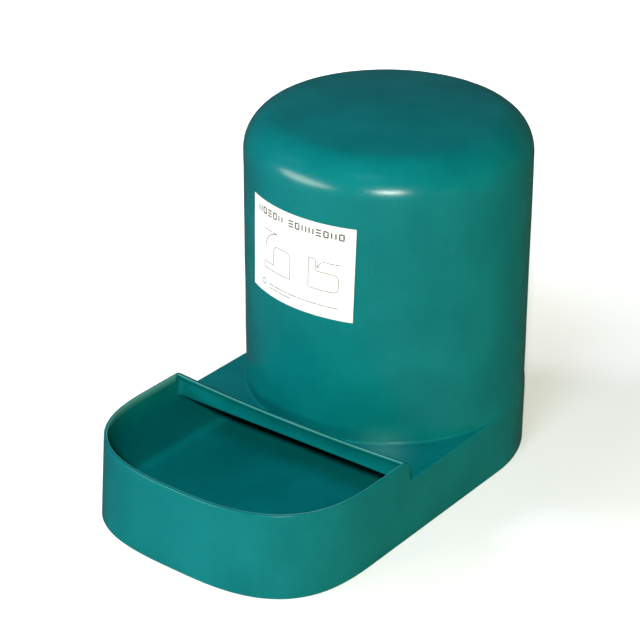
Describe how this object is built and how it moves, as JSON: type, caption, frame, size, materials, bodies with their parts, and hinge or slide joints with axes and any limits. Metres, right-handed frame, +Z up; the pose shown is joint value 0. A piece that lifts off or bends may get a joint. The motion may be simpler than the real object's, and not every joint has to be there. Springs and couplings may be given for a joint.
{
  "type": "drinking fountain",
  "caption": "Gravity-fed animal drinking fountain: a domed water reservoir on a flat deck, with an open D-shaped trough in front and an upright baffle between them.",
  "frame": {"origin": "on the ground under the centre of the object's box", "axes": "+Z up; -Y is the trough's front; +Y is the reservoir's round rear; +X is to the right as seen from the trough"},
  "size_m": [0.26, 0.432, 0.328],
  "materials": {
    "polyethylene": "moulded teal-green polyethylene, semi-gloss with a faint orange peel",
    "label": "white printed sticker"
  },
  "bodies": {
    "root": {"reservoir_shell": "polyethylene", "deck_panel": "polyethylene", "baffle_plate": "polyethylene", "trough_wall": "polyethylene", "floor_panel": "polyethylene", "instruction_label": "label"}
  },
  "joints": []
}
